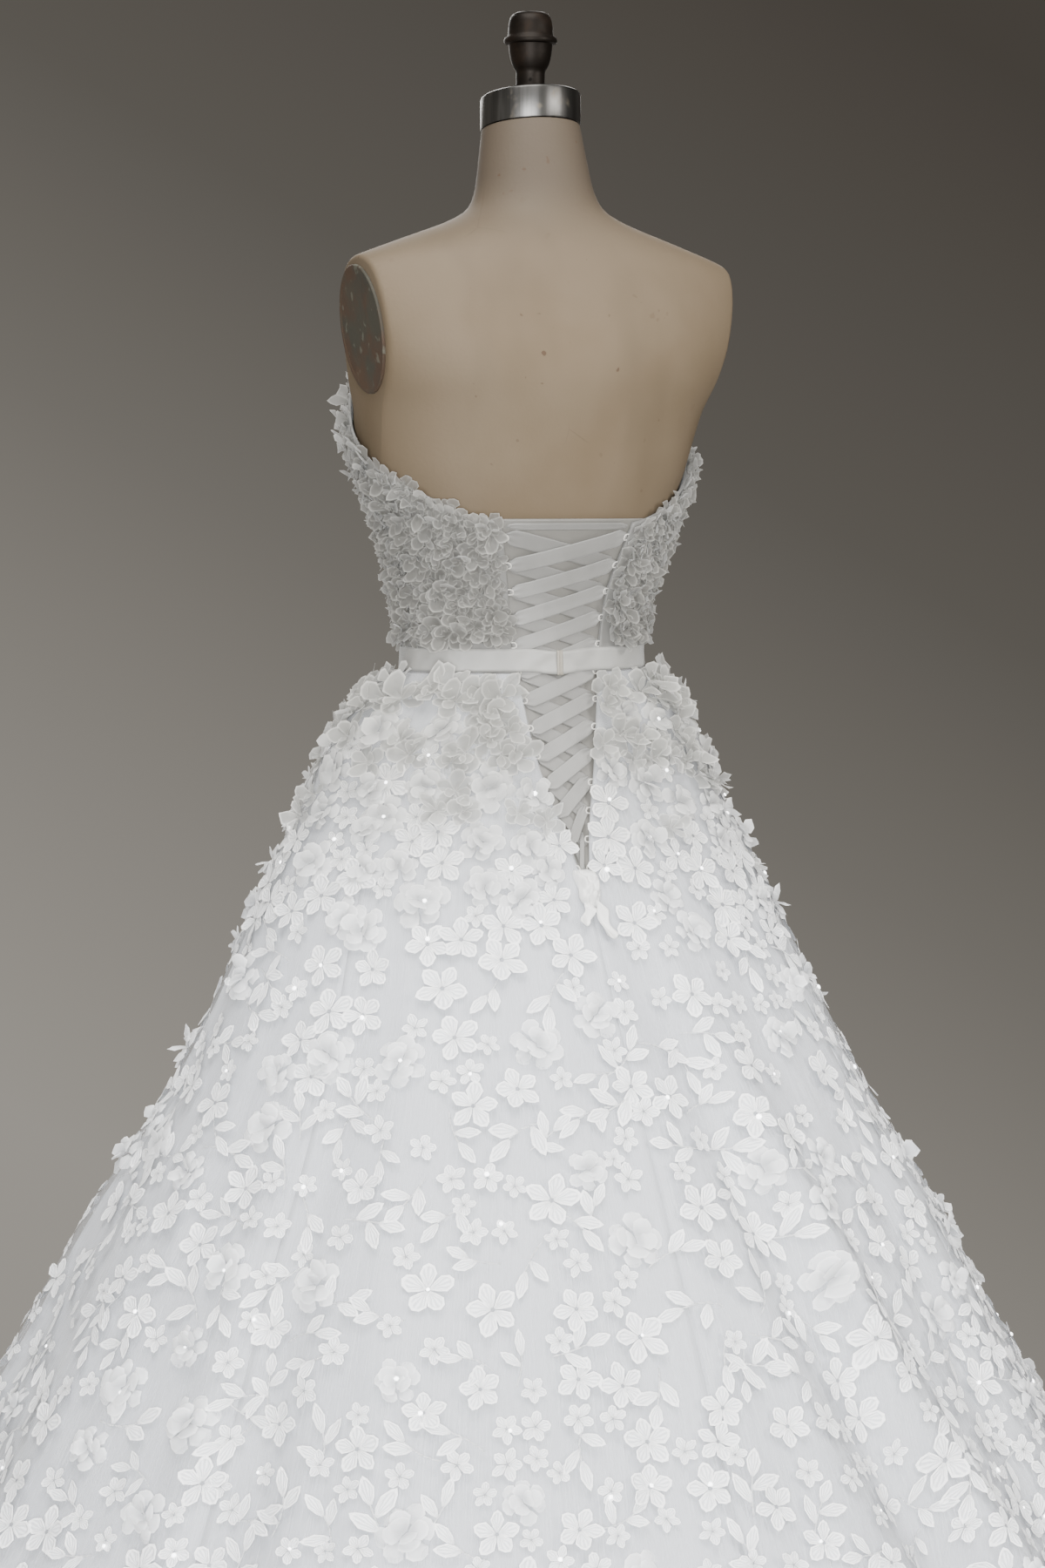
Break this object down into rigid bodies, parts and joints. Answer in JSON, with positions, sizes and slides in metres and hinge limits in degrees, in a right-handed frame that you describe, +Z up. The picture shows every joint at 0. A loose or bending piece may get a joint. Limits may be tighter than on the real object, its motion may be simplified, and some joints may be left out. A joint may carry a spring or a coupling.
{
  "type": "wedding dress on a dress form",
  "caption": "Strapless wedding dress with a laced back, a waist belt, raised flowers and a wide floor-length skirt, on a limbless dress form with a neck finial and a round base.",
  "frame": {"origin": "on the floor, under the middle of the hem's outline", "axes": "+Z up along the form's pole; +Y towards the laced back of the gown; +X towards the wearer's left, which is on the left when the laced back is seen"},
  "size_m": [1.4293, 1.3131, 1.6781],
  "materials": {
    "form_linen": "matte",
    "polished_chrome": "polished",
    "dark_iron": "satin",
    "aged_bronze": "aged",
    "embroidered_tulle": "matte",
    "ivory_satin": "satin"
  },
  "bodies": {
    "root": {"arm_plate_left": "aged_bronze", "arm_plate_right": "aged_bronze", "belt_closure": "ivory_satin", "belt_left": "ivory_satin", "belt_right": "ivory_satin", "bodice_back_left": "embroidered_tulle", "bodice_back_right": "embroidered_tulle", "bodice_front": "embroidered_tulle", "bodice_side_back_left": "embroidered_tulle", "bodice_side_back_right": "embroidered_tulle", "bodice_side_front_left": "embroidered_tulle", "bodice_side_front_right": "embroidered_tulle", "finial": "dark_iron", "form_torso": "form_linen", "lace_knot": "ivory_satin", "lace_over_01": "ivory_satin", "lace_over_02": "ivory_satin", "lace_over_03": "ivory_satin", "lace_over_04": "ivory_satin", "lace_over_05": "ivory_satin", "lace_over_06": "ivory_satin", "lace_over_07": "ivory_satin", "lace_over_08": "ivory_satin", "lace_over_09": "ivory_satin", "lace_over_10": "ivory_satin", "lace_over_11": "ivory_satin", "lace_over_12": "ivory_satin", "lace_tail_left": "ivory_satin", "lace_tail_right": "ivory_satin", "lace_top": "ivory_satin", "lace_under_01": "ivory_satin", "lace_under_02": "ivory_satin", "lace_under_03": "ivory_satin", "lace_under_04": "ivory_satin", "lace_under_05": "ivory_satin", "lace_under_06": "ivory_satin", "lace_under_07": "ivory_satin", "lace_under_08": "ivory_satin", "lace_under_09": "ivory_satin", "lace_under_10": "ivory_satin", "lace_under_11": "ivory_satin", "lace_under_12": "ivory_satin", "loops_left": "ivory_satin", "loops_right": "ivory_satin", "modesty_panel": "ivory_satin", "neck_collar": "polished_chrome", "pole": "dark_iron", "skirt_back_left": "embroidered_tulle", "skirt_back_right": "embroidered_tulle", "skirt_front": "embroidered_tulle", "skirt_side_left": "embroidered_tulle", "skirt_side_right": "embroidered_tulle", "stand_base": "dark_iron"}
  },
  "joints": []
}
